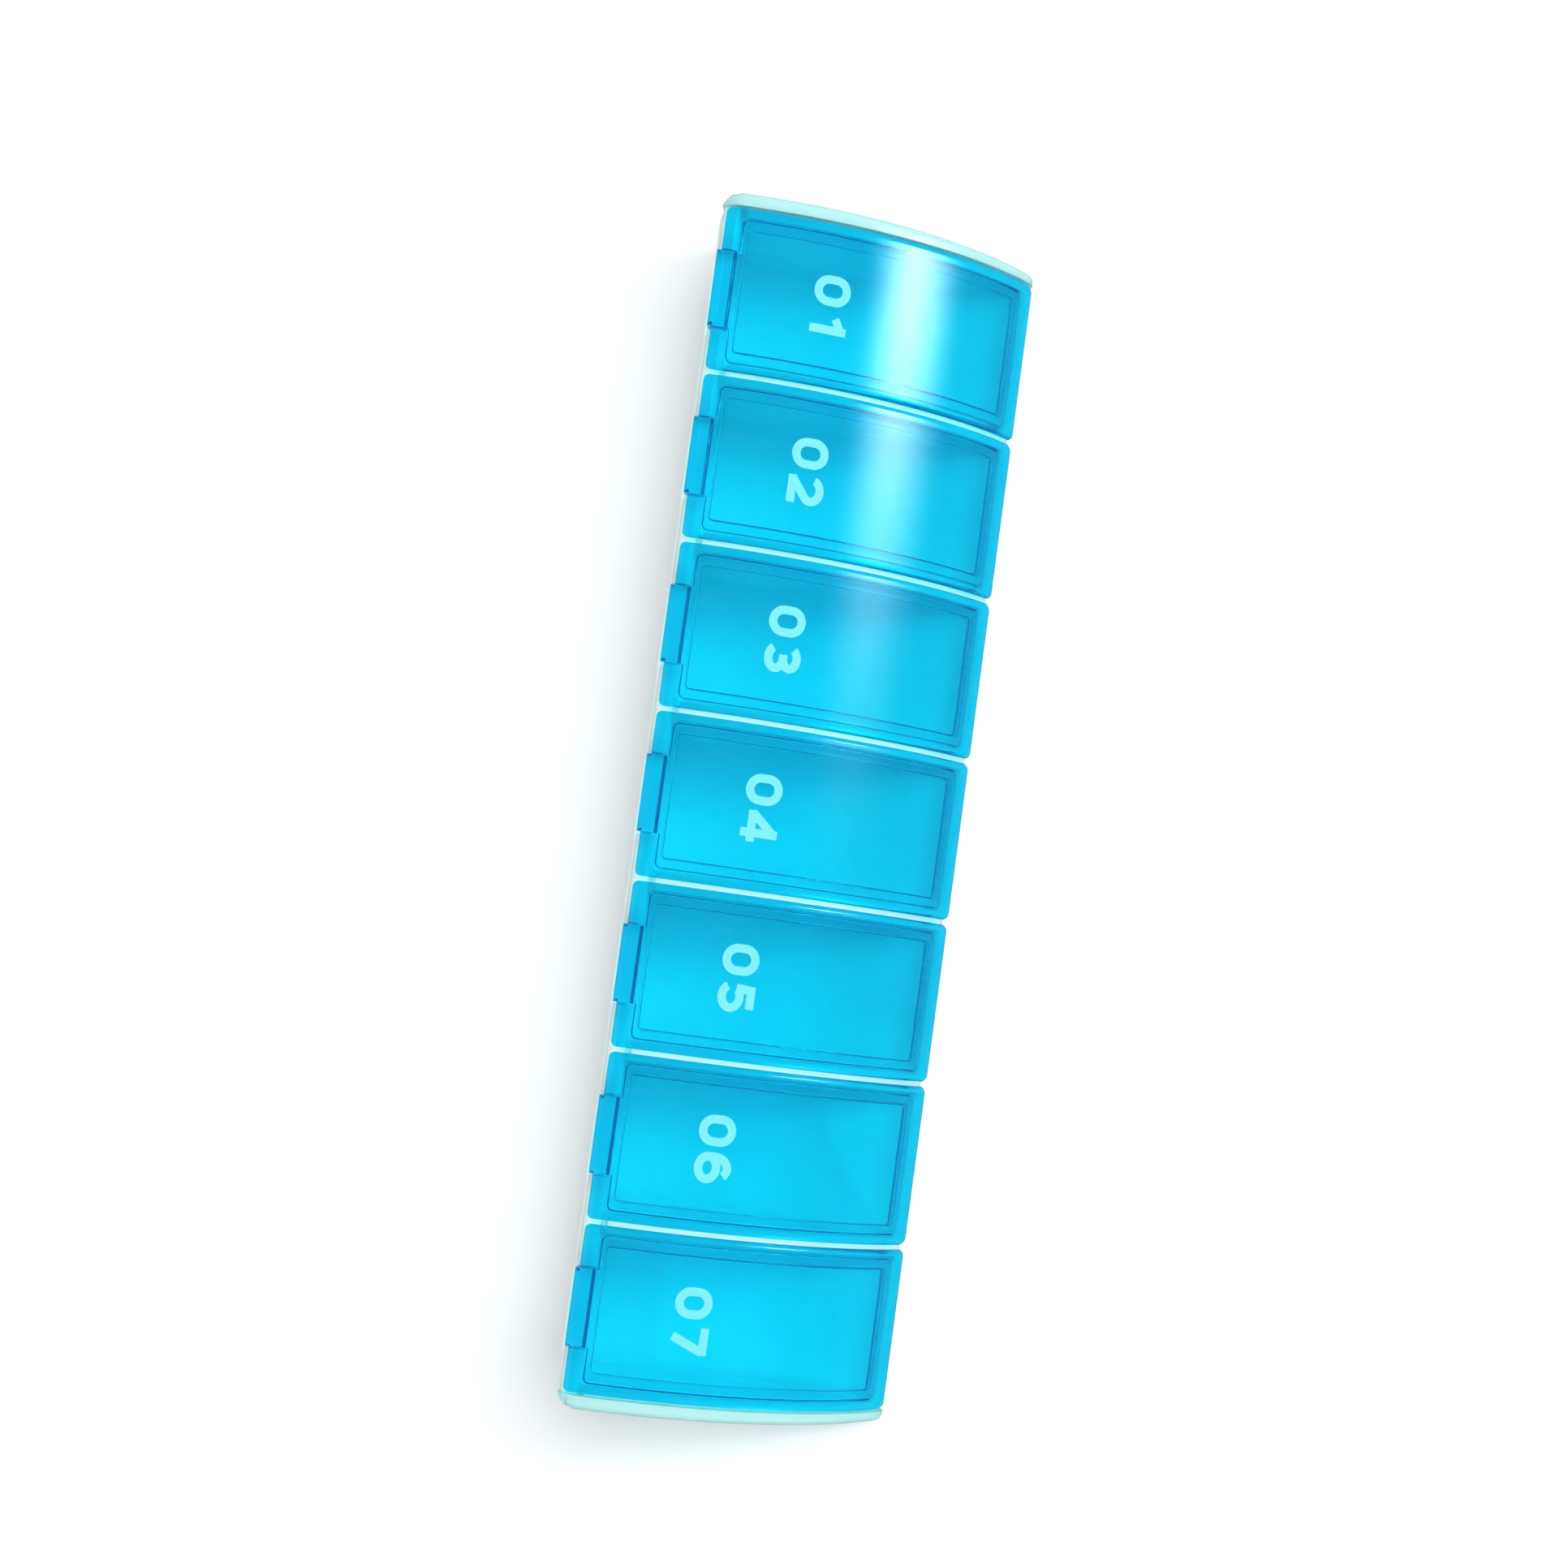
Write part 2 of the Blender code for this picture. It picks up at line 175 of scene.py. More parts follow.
# %% [markdown]
# ## Camera
#
# The case is seen from almost straight above, from about 38 cm, turned so that its length runs down
# the picture. The lens and the place were found by matching the ends of the lids' edges.

# %% Camera
CAMERA_LENS = 67.948
CAMERA_PLACE = Vector((-16.530, -5.541, 383.718)) * MM
CAMERA_TURN = (0.05751, 0.01492, -1.43499)

camera_data = bpy.data.cameras.new("camera")
camera_data.lens = CAMERA_LENS
camera_data.sensor_width = 36.0
camera_data.clip_start = 0.01
camera_data.dof.use_dof = False
camera = bpy.data.objects.new("camera", camera_data)
camera.location = CAMERA_PLACE
camera.rotation_euler = CAMERA_TURN
bpy.context.scene.collection.objects.link(camera)
bpy.context.scene.camera = camera
print("camera height:", round(camera.location.z / MM), "mm")

# %% [markdown]
# ## Light and floor
#
# A soft dome gives the plain level. It is dimmer where it is mirrored, so that it doesn't grey the blue,
# and plain white where the camera looks past the floor. The main light is a wide sun from above the
# first day's end. It is never mirrored in the lids, and the compartments' cross walls throw a soft
# shade that makes the first day's side of each one deeper. A second, weaker sun lifts the shadow on
# the floor at the hinge side.
#
# The pale streak along the first lids is the picture of a softbox in the curved plastic. It is bright
# at one end and dies away to its edges, so its brightness is written as a curve of the place on its
# face, and it adds little light of its own. Tinted plastic scatters part of such a streak sideways,
# and that part comes back cyan, so the white core has a wider cyan skirt.
#
# The floor is a plain pale sheet that takes the shadow. It isn't mirrored in the lids, whose front
# edges would otherwise show its far edge as a line.

# %% World, lamps and floor
WHITE = (1.0, 1.0, 1.0)
DOME_LEVEL = 0.24
MIRRORED_DOME_LEVEL = 0.12
BACKDROP_LEVEL = 1.0

scene = bpy.context.scene
scene.view_settings.view_transform = "Standard"
world = bpy.data.worlds.new("studio")
world.use_nodes = True
tree = world.node_tree
tree.nodes.clear()
dome, mirrored_dome, backdrop = (
    node(tree, "ShaderNodeBackground", Color=WHITE, Strength=level).outputs[0]
    for level in (DOME_LEVEL, MIRRORED_DOME_LEVEL, BACKDROP_LEVEL)
)
ray = node(tree, "ShaderNodeLightPath")
sky = either(tree, ray.outputs["Is Glossy Ray"], dome, mirrored_dome)
sky = either(tree, ray.outputs["Is Camera Ray"], sky, backdrop)
node(tree, "ShaderNodeOutputWorld", Surface=sky)
scene.world = world


def add_lamp(name, lamp, place, target):
    """Puts a lamp in the scene, facing a target."""
    made = bpy.data.objects.new(name, lamp)
    made.location = place
    made.rotation_euler = (Vector(target) - Vector(place)).to_track_quat("-Z", "Y").to_euler()
    scene.collection.objects.link(made)
    return made


def wide_sun(name, direction, level, degrees):
    """A sun from a direction. Level is how bright it makes a white sheet that lies flat."""
    lamp = bpy.data.lights.new(name, "SUN")
    lamp.energy = level * math.pi / Vector(direction).normalized().z
    lamp.angle = math.radians(degrees)
    return add_lamp(name, lamp, Vector(direction), (0.0, 0.0, 0.0))


main_light = wide_sun("main_light", direction=(0.18, -0.16, 0.95), level=0.71, degrees=50)
main_light.visible_glossy = False
main_light.visible_transmission = False
wide_sun("back_light", direction=(-0.35, 0.75, 0.60), level=0.07, degrees=60)

# Places on the softbox are in metres: it is dark at one end in X and bright at the other, and
# brightest at its crest in Z.
STREAK_WIDTH = 0.50
STREAK_HEIGHT = 1.10
STREAK_MIDDLE = Vector((0.22, -1.00, 0.56))
STREAK_DARK_X = -0.02
STREAK_BRIGHT_X = 0.31
STREAK_FOOT_Z = 0.08
STREAK_CREST_Z = 0.56
STREAK_TOP_Z = 0.94
STREAK_LEVEL = 16.0

streak = bpy.data.lights.new("streak_softbox", "AREA")
streak.shape = "RECTANGLE"
streak.size = STREAK_WIDTH
streak.size_y = STREAK_HEIGHT
# With this energy the face has a brightness of 1, and the level alone says how bright it is.
streak.energy = math.pi * STREAK_WIDTH * STREAK_HEIGHT
streak.use_nodes = True
tree = streak.node_tree
place = node(tree, "ShaderNodeNewGeometry").outputs["Position"]
place = node(tree, "ShaderNodeSeparateXYZ", Vector=place)
length_share = ramp(tree, place.outputs["X"], STREAK_DARK_X, STREAK_BRIGHT_X)
rise = ramp(tree, place.outputs["Z"], STREAK_FOOT_Z, STREAK_CREST_Z, smooth=True)
fall = ramp(tree, place.outputs["Z"], STREAK_CREST_Z, STREAK_TOP_Z, 1.0, 0.0, smooth=True)
bell = arithmetic(tree, "MULTIPLY", rise, fall)


def beam(edge_power, end_power):
    """How bright a place on the softbox is, from how fast it dies away to its edges and its far end."""
    across = arithmetic(tree, "POWER", bell, edge_power)
    along = arithmetic(tree, "POWER", length_share, end_power)
    return arithmetic(tree, "MULTIPLY", across, along)


core = beam(edge_power=2.5, end_power=3.3)
skirt = beam(edge_power=1.8, end_power=2.9)
glow = node(tree, "ShaderNodeCombineColor", Red=core, Green=skirt, Blue=skirt)
face = tree.nodes["Emission"]
tree.links.new(glow.outputs[0], face.inputs["Color"])
face.inputs["Strength"].default_value = STREAK_LEVEL
add_lamp("streak_softbox", streak, STREAK_MIDDLE, (STREAK_MIDDLE.x, 0.0, 0.02))

FLOOR_RADIUS = 12.0
floor_bm = bmesh.new()
bmesh.ops.create_circle(floor_bm, cap_ends=True, segments=96, radius=FLOOR_RADIUS)
floor_mesh = bpy.data.meshes.new("floor")
floor_bm.to_mesh(floor_mesh)
floor_bm.free()
floor = bpy.data.objects.new("floor", floor_mesh)
scene.collection.objects.link(floor)
paper, tree, _ = new_material("matte_white_paper")
matte = node(tree, "ShaderNodeBsdfDiffuse", Color=linear("#FAFBFC"), Roughness=1.0)
node(tree, "ShaderNodeOutputMaterial", Surface=matte.outputs[0])
paint([floor], paper)
floor.visible_glossy = False
floor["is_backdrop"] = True

# %% [markdown]
# ## The curve of the lids
#
# Seen from the end, all lids follow one arc: level at the hinge edge and falling to a low front edge.
# A drop over a depth fixes the circle. The plate's underside, the ribs and the bed of the tray run on
# circles round the same centre line, so every gap stays even.

# %% The arc
CASE_HEIGHT = 25.0 * MM
LID_LENGTH = 20.3 * MM
PITCH = 20.9 * MM
MIDDLE_DAY = 4
FRONT_Y = -20.2 * MM
REAR_Y = 20.2 * MM
HINGE_Y = 19.1 * MM
LID_THICKNESS = 1.2 * MM
RIB_DEPTH = 1.0 * MM
FIT_GAP = 0.3 * MM
ARC_DROP = 21.6 * MM
ARC_DEPTH = HINGE_Y - FRONT_Y
ARC_RADIUS = (ARC_DEPTH**2 + ARC_DROP**2) / (2 * ARC_DROP)
UNDER_RADIUS = ARC_RADIUS - LID_THICKNESS
BED_RADIUS = UNDER_RADIUS - FIT_GAP


def arc_height(radius, y):
    """Height of the circle of this radius at a place across the case."""
    return CASE_HEIGHT - ARC_RADIUS + math.sqrt(radius**2 - (y - HINGE_Y) ** 2)


def day_x(day):
    """Middle of a day's place along the case, for day 1 to day 7."""
    return (MIDDLE_DAY - day) * PITCH


print(f"arc radius {ARC_RADIUS / MM:.2f} mm")

# %% [markdown]
# ## A slab to bend
#
# Lid and tray both start as a plain upright block. Its corners and edges are rounded while it is
# still square, which is easy, and then each point slides straight up or down onto the arc. The walls
# stay upright, and the rounding follows the curve. The rows across the block are what bends.

# %% Block, rows and rounding
ROW = 0.6 * MM
# Allowances for comparing places: a hair's width, and as good as the same place.
HAIR = 0.02 * MM
SAME_PLACE = 0.002 * MM
# A face counts as square to an axis if its normal has more than the first share along it, and as
# edge-on if it has less than the second.
SQUARE_ON = 0.9
EDGE_ON = 0.2


def block(low, high):
    """A bmesh box between two corners."""
    bm = bmesh.new()
    bmesh.ops.create_cube(bm, size=1.0)
    bmesh.ops.scale(bm, vec=Vector(high) - Vector(low), verts=bm.verts)
    bmesh.ops.translate(bm, vec=(Vector(high) + Vector(low)) / 2, verts=bm.verts)
    return bm


def cut(bm, axis, place):
    """Cuts the whole bmesh along a plane that is square to an axis."""
    point = Vector((0.0, 0.0, 0.0))
    normal = Vector((0.0, 0.0, 0.0))
    point[axis] = place
    normal[axis] = 1.0
    whole = [*bm.verts, *bm.edges, *bm.faces]
    bmesh.ops.bisect_plane(bm, geom=whole, plane_co=point, plane_no=normal)


def rows(bm, first, last):
    """Cuts a block across in even rows from one place to another."""
    count = math.ceil((last - first) / ROW)
    for step in range(count + 1):
        cut(bm, 1, first + (last - first) * step / count)


def move_drawn(bm, drawn, vec):
    """Moves the new points of an extrusion."""
    verts = [part for part in drawn["geom"] if isinstance(part, bmesh.types.BMVert)]
    bmesh.ops.translate(bm, vec=vec, verts=verts)


def draw_out(bm, faces, vec):
    """Draws faces out of the skin like a drawer, and leaves none of the old ones inside."""
    drawn = bmesh.ops.extrude_face_region(bm, geom=faces)
    bmesh.ops.delete(bm, geom=faces, context="FACES_ONLY")
    move_drawn(bm, drawn, vec)


def rounded(bm, edges, radius, segments):
    """Rounds edges of a bmesh."""
    bmesh.ops.bevel(
        bm, geom=list(edges), offset=radius, segments=segments, profile=0.5, affect="EDGES", material=-1
    )


def upright_edges(bm, x, y):
    """The upright edges of a bmesh at plus and minus one place along the case, and one across."""
    return [
        edge
        for edge in bm.edges
        if all(abs(abs(v.co.x) - x) < SAME_PLACE and abs(v.co.y - y) < SAME_PLACE for v in edge.verts)
    ]


def rim_edges(bm, side):
    """The edges between the upright walls and the face above (side 1) or below (side -1)."""
    bm.normal_update()
    found = []
    for edge in bm.edges:
        leans = [face.normal.z * side for face in edge.link_faces]
        if len(leans) == 2 and min(abs(lean) for lean in leans) < EDGE_ON and max(leans) > SQUARE_ON:
            found.append(edge)
    return found


def as_piece(name, bm):
    """Turns a bmesh into an object at the origin, with its faces pointing out."""
    bmesh.ops.recalc_face_normals(bm, faces=bm.faces)
    mesh = bpy.data.meshes.new(name)
    bm.to_mesh(mesh)
    bm.free()
    made = bpy.data.objects.new(name, mesh)
    scene.collection.objects.link(made)
    return made


print("row width:", ROW / MM, "mm")

# %% [markdown]
# ## One lid
#
# A real lid is a single moulding about 1.2 mm thick. Under the plate stands a frame of low ribs that
# drops into the compartment's mouth, and in the blue plastic those ribs are what the eye catches:
# two fine dark lines run round inside the edge of each lid. They are drawn out of the plate itself.
# The plate is cut along the frame's lines, and the ring of faces underneath is extruded down, so
# plate and ribs are one closed skin, which clear plastic needs.
#
# At the rear edge the middle of the plate stands out a little, flush with the top. That tab is
# extruded from the rear face in the same way.

# %% Plate with ribs and tab
FRAME_X = 8.95 * MM
FRAME_INNER_X = 7.60 * MM
FRAME_FRONT_Y = -18.1 * MM
FRAME_INNER_FRONT_Y = -17.0 * MM
FRAME_REAR_Y = 16.9 * MM
FRAME_INNER_REAR_Y = 16.1 * MM
TAB_HALF = 4.75 * MM
TAB_PROUD = 0.5 * MM
# The rows keep clear of the front and the rear, where the roundings need room.
LID_FRONT_MARGIN = 2.6 * MM
LID_REAR_MARGIN = 3.4 * MM
LID_FRONT_CORNER = 0.9 * MM
LID_REAR_CORNER = 0.7 * MM
LID_TOP_EDGE = 0.6 * MM
LID_UNDER_EDGE = 0.4 * MM
RIB_CORNER = 0.7 * MM
RIB_INNER_CORNER = 0.4 * MM
RIB_FOOT_EDGE = 0.3 * MM


def lid_plate():
    """The curved plate, with the rib frame and the hinge tab drawn out of it."""
    half = LID_LENGTH / 2
    bm = block((-half, FRONT_Y, 0.0), (half, HINGE_Y, CASE_HEIGHT))
    rows(bm, FRONT_Y + LID_FRONT_MARGIN, HINGE_Y - LID_REAR_MARGIN)
    for x in (FRAME_X, FRAME_INNER_X, TAB_HALF):
        cut(bm, 0, x)
        cut(bm, 0, -x)
    for y in (FRAME_FRONT_Y, FRAME_INNER_FRONT_Y, FRAME_REAR_Y, FRAME_INNER_REAR_Y):
        cut(bm, 1, y)
    rounded(bm, upright_edges(bm, half, FRONT_Y), LID_FRONT_CORNER, segments=6)
    rounded(bm, upright_edges(bm, half, HINGE_Y), LID_REAR_CORNER, segments=4)

    bm.normal_update()
    tab = [
        face
        for face in bm.faces
        if face.normal.y > SQUARE_ON and abs(face.calc_center_median().x) < TAB_HALF
    ]
    draw_out(bm, tab, (0.0, TAB_PROUD, 0.0))
    rounded(bm, rim_edges(bm, 1), LID_TOP_EDGE, segments=5)
    rounded(bm, rim_edges(bm, -1), LID_UNDER_EDGE, segments=4)

    bm.normal_update()
    ring = []
    for face in bm.faces:
        middle = face.calc_center_median()
        outside = abs(middle.x) > FRAME_INNER_X or not FRAME_INNER_FRONT_Y < middle.y < FRAME_INNER_REAR_Y
        inside = abs(middle.x) < FRAME_X and FRAME_FRONT_Y < middle.y < FRAME_REAR_Y
        if face.normal.z < -SQUARE_ON and inside and outside:
            ring.append(face)
    draw_out(bm, ring, (0.0, 0.0, -RIB_DEPTH))
    for y in (FRAME_FRONT_Y, FRAME_REAR_Y):
        rounded(bm, upright_edges(bm, FRAME_X, y), RIB_CORNER, segments=4)
    for y in (FRAME_INNER_FRONT_Y, FRAME_INNER_REAR_Y):
        rounded(bm, upright_edges(bm, FRAME_INNER_X, y), RIB_INNER_CORNER, segments=3)
    rib_feet = [edge for edge in rim_edges(bm, -1) if max(v.co.z for v in edge.verts) < HAIR - RIB_DEPTH]
    rounded(bm, rib_feet, RIB_FOOT_EDGE, segments=3)

    for vert in bm.verts:
        upper = vert.co.z > CASE_HEIGHT / 2
        radius = ARC_RADIUS + vert.co.z - CASE_HEIGHT if upper else UNDER_RADIUS + vert.co.z
        vert.co.z = arc_height(radius, vert.co.y)
    return as_piece("lid_plate", bm)


plate = lid_plate()
print("plate faces:", len(plate.data.polygons))

# %% [markdown]
# ## The hinge of a lid
#
# Below the tab hangs a round knuckle, and a short pin stands out of each of its ends. The pins turn
# in the tray's lugs. Knuckle and pins are bars along the case, and a small block ties the knuckle to
# plate and rib. They overlap the plate, and one exact Boolean makes a single skin of them.

# %% Knuckle and pins
AXIS_Y = 18.4 * MM
AXIS_Z = 22.3 * MM
KNUCKLE_RADIUS = 1.2 * MM
PIN_RADIUS = 0.5 * MM
PIN_LENGTH = 1.5 * MM
KNUCKLE_SIDES = 40
PIN_SIDES = 24
# The tying block starts inside the rear rib and ends inside the plate.
TIE_INTO_RIB = 0.4 * MM
TIE_BELOW_TOP = 0.8 * MM


def bar(name, radius, x_low, x_high, sides):
    """A round bar along the hinge axis."""
    bm = bmesh.new()
    middle = Matrix.Translation(((x_low + x_high) / 2, AXIS_Y, AXIS_Z))
    along = middle @ Matrix.Rotation(math.pi / 2, 4, "Y")
    bmesh.ops.create_cone(
        bm, cap_ends=True, segments=sides, radius1=radius, radius2=radius, depth=x_high - x_low, matrix=along
    )
    return as_piece(name, bm)


def gather(name, members):
    """Puts helper pieces in a collection of their own, for a Boolean."""
    made = bpy.data.collections.new(name)
    for member in members:
        made.objects.link(member)
    return made


def boolean(target, operands, operation):
    """Joins or cuts a piece with all pieces of a collection at once, and takes the helpers away."""
    step = target.modifiers.new(operands.name, "BOOLEAN")
    step.operation = operation
    step.solver = "EXACT"
    step.operand_type = "COLLECTION"
    step.collection = operands
    depsgraph = bpy.context.evaluated_depsgraph_get()
    result = bpy.data.meshes.new_from_object(target.evaluated_get(depsgraph))
    target.modifiers.clear()
    target.data = result
    for helper in list(operands.objects):
        bpy.data.objects.remove(helper, do_unlink=True)
    bpy.data.collections.remove(operands)


pin_end = TAB_HALF + PIN_LENGTH
knuckle = bar("knuckle", KNUCKLE_RADIUS, -TAB_HALF, TAB_HALF, KNUCKLE_SIDES)
pins = bar("pins", PIN_RADIUS, -pin_end, pin_end, PIN_SIDES)
tie_low = (HAIR - TAB_HALF, FRAME_INNER_REAR_Y + TIE_INTO_RIB, AXIS_Z)
tie_high = (TAB_HALF - HAIR, AXIS_Y + KNUCKLE_RADIUS - HAIR, CASE_HEIGHT - TIE_BELOW_TOP)
tie = as_piece("tie", block(tie_low, tie_high))
boolean(plate, gather("hinge_parts", [knuckle, pins, tie]), "UNION")
print("lid faces:", len(plate.data.polygons))

# %% [markdown]
# ## Smooth and sharp
#
# Faces that meet at a small angle are parts of one rounded surface, and the rest are real edges. The
# mesh is shaded smooth with its sharp edges marked, and the large faces get the say over the normals,
# so the narrow roundings don't pull shade across the plate.

# %% Shading and the seven lids
DAYS = range(1, 8)
SHARP_FROM = math.radians(32.0)
LARGE_FACE_SAY = 80


def shade(mesh):
    """Shades a mesh smooth, apart from its sharp edges."""
    mesh.shade_smooth()
    mesh.set_sharp_from_angle(angle=SHARP_FROM)


def weigh_normals(piece):
    """Lets the large faces lead the shading."""
    step = piece.modifiers.new("weighted_normals", "WEIGHTED_NORMAL")
    step.keep_sharp = True
    step.weight = LARGE_FACE_SAY


shade(plate.data)
lids = []
for day in DAYS:
    mesh = plate.data.copy()
    mesh.name = f"blue_lid_{day}"
    mesh.transform(Matrix.Translation((day_x(day), 0.0, 0.0)))
    lid = bpy.data.objects.new(f"blue_lid_{day}", mesh)
    scene.collection.objects.link(lid)
    weigh_normals(lid)
    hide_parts(f"day_lid_{day}")
    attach(lid, f"lid_{day}")
    lids.append(lid)
bpy.data.objects.remove(plate, do_unlink=True)
print("lids:", len(lids))

# %% [markdown]
# ## The tray's outer block
#
# The tray is the same kind of slab: bent along the arc at the top, flat below, with generous corners
# at the hinge side. Its walls lean in towards the foot by a degree and a half, as a moulding's walls
# must so that it slips out of its tool.

# %% Tray block
BAY_HALF = 73.15 * MM
CASE_HALF = 74.85 * MM
RIM_DROP = 0.25 * MM
WALL_LEAN = math.tan(math.radians(1.5))
TRAY_FRONT_MARGIN = 2.4 * MM
TRAY_REAR_MARGIN = 4.4 * MM
TRAY_FRONT_CORNER = 1.0 * MM
TRAY_REAR_CORNER = 3.0 * MM
TRAY_RIM_EDGE = 0.8 * MM
TRAY_FOOT_EDGE = 0.6 * MM


def tray_block():
    """The tray's outside: arched top, rounded corners, rim and foot, and leaning walls."""
    bm = block((-CASE_HALF, FRONT_Y, 0.0), (CASE_HALF, REAR_Y, CASE_HEIGHT))
    rows(bm, FRONT_Y + TRAY_FRONT_MARGIN, REAR_Y - TRAY_REAR_MARGIN)
    rounded(bm, upright_edges(bm, CASE_HALF, FRONT_Y), TRAY_FRONT_CORNER, segments=6)
    rounded(bm, upright_edges(bm, CASE_HALF, REAR_Y), TRAY_REAR_CORNER, segments=12)
    rim = rim_edges(bm, 1)
    foot = rim_edges(bm, -1)
    rounded(bm, rim, TRAY_RIM_EDGE, segments=6)
    rounded(bm, foot, TRAY_FOOT_EDGE, segments=5)
    for vert in bm.verts:
        if vert.co.z > CASE_HEIGHT / 2:
            vert.co.z += arc_height(ARC_RADIUS - RIM_DROP, vert.co.y) - CASE_HEIGHT
        lean = (CASE_HEIGHT - vert.co.z) * WALL_LEAN
        vert.co.x -= math.copysign(lean, vert.co.x)
        if vert.co.y > 0.0:
            vert.co.y -= lean
    return as_piece("milky_tray", bm)


tray = tray_block()
print("tray block faces:", len(tray.data.polygons))

# %% [markdown]
# ## What is cut out of the tray
#
# Between the end walls the top is lowered to the bed that the lids lie on, and a shelf behind it makes
# room for the hinges. The rear wall ends just below the lowest place that an open lid's edge reaches.
#
# Each compartment is one more shape: a box whose rear foot is rounded into a scoop, so that a
# fingertip can roll a tablet up and out, with a rail along the rear wall and an open front above a
# low sill.

# %% Bay and compartments
TRAY_FRONT_Y = -19.55 * MM
SILL_Y = -18.4 * MM
SILL_TOP = arc_height(UNDER_RADIUS - RIB_DEPTH, FRAME_FRONT_Y)
LUG_FRONT_Y = AXIS_Y - KNUCKLE_RADIUS
NOTCH_DEPTH = 0.65 * MM
NOTCH_DROP = 0.25 * MM
RAIL_Y = LUG_FRONT_Y + 0.3 * MM
RAIL_HEIGHT = 1.6 * MM
REAR_WALL = 1.9 * MM
FLOOR = 1.2 * MM
POCKET_HALF = 9.25 * MM
POCKET_CORNER = 1.0 * MM
POCKET_EDGE_ANGLE = math.radians(60.0)
SCOOP_RADIUS = 8.0 * MM
# A cutter laps over its neighbour by the first and sticks out of the tray by the second.
LAP = 0.4 * MM
BEYOND = 5.0 * MM

LID_OPENING = math.radians(115.0)
EDGE_REACH = math.hypot(HINGE_Y - AXIS_Y, CASE_HEIGHT - AXIS_Z)
EDGE_ANGLE = math.atan2(CASE_HEIGHT - AXIS_Z, HINGE_Y - AXIS_Y)
WALL_TOP = AXIS_Z - EDGE_REACH * math.sin(LID_OPENING - EDGE_ANGLE) - FIT_GAP


def bay():
    """The space above the tray's bed, and the room for the hinges behind it."""
    notch_y = LUG_FRONT_Y - NOTCH_DEPTH
    room_y = (LUG_FRONT_Y + RAIL_Y) / 2
    top = CASE_HEIGHT + BEYOND
    bed = block((-BAY_HALF, FRONT_Y - LAP, 0.0), (BAY_HALF, notch_y + LAP, top))
    rows(bed, FRONT_Y, notch_y)
    for vert in bed.verts:
        if vert.co.z < CASE_HEIGHT / 2:
            vert.co.z = arc_height(BED_RADIUS, max(vert.co.y, FRONT_Y))
    notch = block((-BAY_HALF, notch_y, AXIS_Z - NOTCH_DROP), (BAY_HALF, room_y + LAP, top))
    room = block((-BAY_HALF, room_y, WALL_TOP), (BAY_HALF, REAR_Y + BEYOND, top))
    front = block((-BAY_HALF, FRONT_Y - BEYOND, -BEYOND), (BAY_HALF, TRAY_FRONT_Y, top))
    names = ("bed", "notch", "hinge_room", "front")
    return [as_piece(name, bm) for name, bm in zip(names, (bed, notch, room, front))]


def pocket(day):
    """The space of one compartment."""
    wall_y = REAR_Y - REAR_WALL
    rail_foot = WALL_TOP - RAIL_HEIGHT
    slope_foot = rail_foot - (wall_y - RAIL_Y)
    bm = block((-POCKET_HALF, SILL_Y, FLOOR), (POCKET_HALF, wall_y, CASE_HEIGHT + BEYOND))
    for height in (SILL_TOP, slope_foot, rail_foot):
        cut(bm, 2, height)
    for vert in bm.verts:
        if vert.co.y > 0.0 and vert.co.z > rail_foot - HAIR:
            vert.co.y = RAIL_Y
        elif vert.co.y > 0.0 and vert.co.z < FLOOR + HAIR:
            vert.co.y -= (CASE_HEIGHT - FLOOR) * WALL_LEAN
    bm.normal_update()
    open_front = [
        face
        for face in bm.faces
        if face.normal.y < -SQUARE_ON and face.calc_center_median().z > SILL_TOP
    ]
    draw_out(bm, open_front, (0.0, FRONT_Y - BEYOND - SILL_Y, 0.0))
    bm.normal_update()
    scoop = [
        edge
        for edge in bm.edges
        if all(v.co.z < FLOOR + HAIR and v.co.y > 0.0 for v in edge.verts)
    ]
    rounded(bm, scoop, SCOOP_RADIUS, segments=24)
    sides = [
        edge
        for edge in bm.edges
        if abs(edge.verts[0].co.x - edge.verts[1].co.x) < HAIR
        and all(abs(abs(v.co.x) - POCKET_HALF) < HAIR for v in edge.verts)
        and len(edge.link_faces) == 2
        and edge.calc_face_angle() > POCKET_EDGE_ANGLE
        and min(v.co.z for v in edge.verts) < CASE_HEIGHT
    ]
    rounded(bm, sides, POCKET_CORNER, segments=5)
    bmesh.ops.translate(bm, vec=(day_x(day), 0.0, 0.0), verts=bm.verts)
    return as_piece(f"pocket_{day}", bm)


cutters = bay() + [pocket(day) for day in DAYS]
boolean(tray, gather("tray_cuts", cutters), "DIFFERENCE")
print("tray faces after the cuts:", len(tray.data.polygons))

# %% [markdown]
# ## The hinge lugs
#
# Between two lids, and at each end, a lug with a round eye stands on the shelf. A bore runs through
# the gap of each knuckle into the lugs on both sides, with 0.3 mm of play round the pins.

# %% Lugs and bores
LAST_LUG = 7
LUG_HALF = (PITCH - 2 * TAB_HALF) / 2 - FIT_GAP
BORE_HALF = TAB_HALF + FIT_GAP + PIN_LENGTH
# How far a lug reaches back behind the axis without touching an open lid.
LUG_REACH = (
    KNUCKLE_RADIUS * math.sin(LID_OPENING)
    + (HINGE_Y - AXIS_Y + FIT_GAP) * math.cos(LID_OPENING)
)


